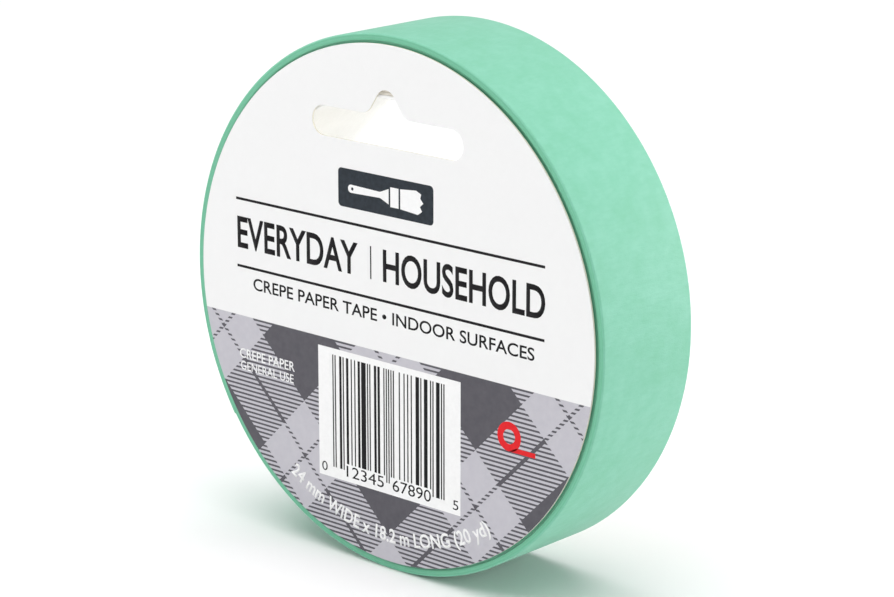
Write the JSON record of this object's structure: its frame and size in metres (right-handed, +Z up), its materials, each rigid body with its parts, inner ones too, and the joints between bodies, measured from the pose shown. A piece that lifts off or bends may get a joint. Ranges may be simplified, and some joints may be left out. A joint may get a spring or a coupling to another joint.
{
  "type": "masking tape roll",
  "caption": "Roll of crepe paper masking tape wound on a spiral paperboard core, with a round hang-slot label card glued to its front.",
  "frame": {"origin": "on the core's axis, halfway through the roll's width", "axes": "+Y along the core's axis, out of its open back; -Y is the way the printed card faces; +Z up as the card reads, towards its hang slot"},
  "size_m": [0.099, 0.0246, 0.0989],
  "materials": {
    "crepe_tape": "fine crepe, matt",
    "core_liner": "smooth white paper, matt",
    "core_board": "pale board, matt",
    "label_card": "printed, satin",
    "glue": "soft, satin"
  },
  "bodies": {
    "roll": {"core_inner_ply": "core_liner", "core_body_ply_1": "core_board", "core_body_ply_2": "core_board", "core_outer_ply": "core_board", "wound_tape": "crepe_tape", "outer_turn": "crepe_tape"},
    "tape_end": {"tape_end": "crepe_tape"},
    "label": {"label_card": "label_card", "label_glue_dots": "glue"}
  },
  "joints": [
    {"name": "tape_end_peel", "type": "hinge", "parent": "roll", "child": "tape_end", "pos_m": [-0.0473, 0, -0.01506], "axis": [0, 1, 0], "range_deg": [0, 120]},
    {"name": "label_lift", "type": "slide", "parent": "roll", "child": "label", "axis": [0, -1, 0], "range_m": [0, 0.03]}
  ]
}
